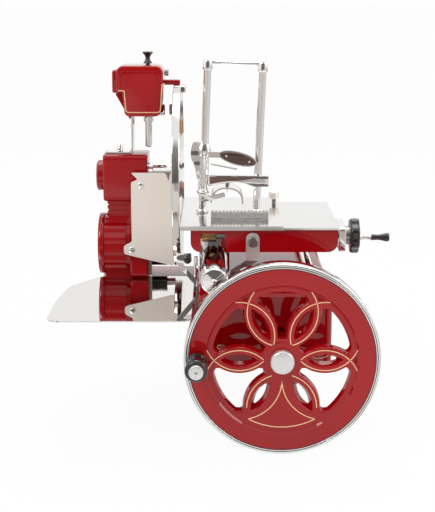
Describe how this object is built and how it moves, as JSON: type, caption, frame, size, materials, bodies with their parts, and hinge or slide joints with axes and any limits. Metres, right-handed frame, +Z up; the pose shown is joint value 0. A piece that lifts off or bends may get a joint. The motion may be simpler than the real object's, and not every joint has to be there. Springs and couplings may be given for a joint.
{
  "type": "hand crank meat slicer",
  "caption": "Hand cranked flywheel meat slicer with round knife, sliding carriage, meat press, sharpener, slice tray and openwork wheel.",
  "frame": {"origin": "centre of the base's underside, on its cross web, where the slicer stands on its pedestal or counter", "axes": "+X along the knife shaft towards the feed handwheel, +Y from the operator and the flywheel to the back, +Z up"},
  "size_m": [0.5978, 0.68, 0.6708],
  "materials": {
    "red_paint": "deep red gloss enamel",
    "chrome": "bright chrome",
    "polished_steel": "polished stainless steel",
    "dark_steel": "machined steel",
    "black_plastic": "gloss black",
    "brown_wood": "dark brown, satin",
    "bronze": "machined bronze",
    "stone": "fine grinding stone"
  },
  "bodies": {
    "base": {"base_casting": "red_paint", "front_shaft_bush": "bronze", "rear_shaft_bush": "bronze", "main_guide_rail": "chrome", "outer_guide_rail": "chrome", "knife_column": "red_paint", "drive_case_cover": "red_paint", "knife_shaft_housing": "chrome", "knife_guard": "chrome", "guard_stay_collar": "black_plastic", "guard_stay": "chrome", "guard_stay_plate": "chrome", "side_lever_post": "chrome", "side_lever": "dark_steel", "side_lever_knob": "black_plastic", "slice_deflector": "polished_steel", "lower_deflector_stud": "chrome", "upper_deflector_stud": "chrome", "slice_tray": "polished_steel", "tray_bracket": "dark_steel", "sharpener_head": "red_paint", "sharpener_strap": "chrome", "stone_button": "dark_steel"},
    "flywheel": {"flywheel_casting": "red_paint", "flywheel_tyre": "chrome", "hub_cap": "chrome", "crank_pin": "chrome", "flywheel_shaft": "dark_steel", "flywheel_bevel_gear": "bronze"},
    "crank_grip": {"crank_grip": "black_plastic"},
    "cross_shaft": {"cross_shaft": "dark_steel", "cross_bevel_gear": "bronze"},
    "knife": {"knife_blade": "polished_steel", "knife_shaft": "dark_steel"},
    "carriage": {"carriage_casting": "red_paint", "carriage_cover": "polished_steel", "rail_saddle": "dark_steel", "feed_end_housing": "chrome", "trip_bracket": "chrome", "trip_bracket_screw": "dark_steel", "feed_trip_lever": "dark_steel", "roller_fork": "dark_steel"},
    "rail_roller": {"rail_roller": "chrome"},
    "feed_screw": {"feed_screw": "dark_steel", "feed_handwheel": "black_plastic", "spinner_pin": "chrome"},
    "spinner_handle": {"spinner_handle": "black_plastic"},
    "meat_table": {"meat_table": "polished_steel", "feed_nut": "bronze", "toothed_strip": "dark_steel", "fence_knob": "chrome", "press_frame": "chrome"},
    "press": {"press_beam": "chrome", "press_plate": "polished_steel", "press_plate_screw": "dark_steel", "press_grip_frame": "chrome", "press_grip": "brown_wood"},
    "release_lever": {"press_release_lever": "chrome"},
    "plunger": {"sharpener_plunger": "black_plastic"},
    "grinding_stone": {"grinding_stone": "stone"}
  },
  "joints": [
    {"name": "flywheel_spin", "type": "hinge", "parent": "base", "child": "flywheel", "pos_m": [0.026, -0.308, 0.0395], "axis": [0, 1, 0], "continuous": true},
    {"name": "grip_spin", "type": "hinge", "parent": "flywheel", "child": "crank_grip", "pos_m": [-0.1195, -0.359, 0.0395], "axis": [0, 1, 0], "continuous": true},
    {"name": "cross_shaft_spin", "type": "hinge", "parent": "base", "child": "cross_shaft", "pos_m": [-0.1, 0.06456, 0.0395], "axis": [1, 0, 0], "continuous": true},
    {"name": "knife_spin", "type": "hinge", "parent": "base", "child": "knife", "pos_m": [-0.154, 0, 0.309], "axis": [1, 0, 0], "continuous": true},
    {"name": "carriage_slide", "type": "slide", "parent": "base", "child": "carriage", "axis": [0, 1, 0], "range_m": [-0.095, 0.185]},
    {"name": "roller_spin", "type": "hinge", "parent": "carriage", "child": "rail_roller", "pos_m": [0.083, -0.03, 0.1793], "axis": [1, 0, 0], "continuous": true},
    {"name": "feed_screw_turn", "type": "hinge", "parent": "carriage", "child": "feed_screw", "pos_m": [0.15, -0.12, 0.216], "axis": [1, 0, 0], "range_deg": [0, 3780]},
    {"name": "spinner_spin", "type": "hinge", "parent": "feed_screw", "child": "spinner_handle", "pos_m": [0.21, -0.138, 0.216], "axis": [1, 0, 0], "continuous": true},
    {"name": "table_feed", "type": "slide", "parent": "carriage", "child": "meat_table", "axis": [1, 0, 0], "range_m": [0, 0.105]},
    {"name": "press_slide", "type": "slide", "parent": "meat_table", "child": "press", "axis": [0.0384, 0, 0.9993], "range_m": [0, 0.135]},
    {"name": "release_lever_squeeze", "type": "hinge", "parent": "press", "child": "release_lever", "pos_m": [-0.0963, -0.033, 0.3355], "axis": [0, -1, 0], "range_deg": [0, 8], "stiffness_Nm_per_rad": 0.3, "springref_deg": -5.73},
    {"name": "plunger_lift", "type": "slide", "parent": "base", "child": "plunger", "axis": [0, 0, 1], "range_m": [0, 0.012], "stiffness_N_per_m": 200, "springref_m": -0.005},
    {"name": "stone_spin", "type": "hinge", "parent": "base", "child": "grinding_stone", "pos_m": [-0.1727, 0.038, 0.4302], "axis": [1, 0, 0], "continuous": true}
  ],
  "couplings": [
    {"joint": "cross_shaft_spin", "follows": "flywheel_spin", "ratio": -1},
    {"joint": "knife_spin", "follows": "flywheel_spin", "ratio": -4},
    {"joint": "feed_screw_turn", "follows": "table_feed", "rad_per_m": 628.32}
  ]
}
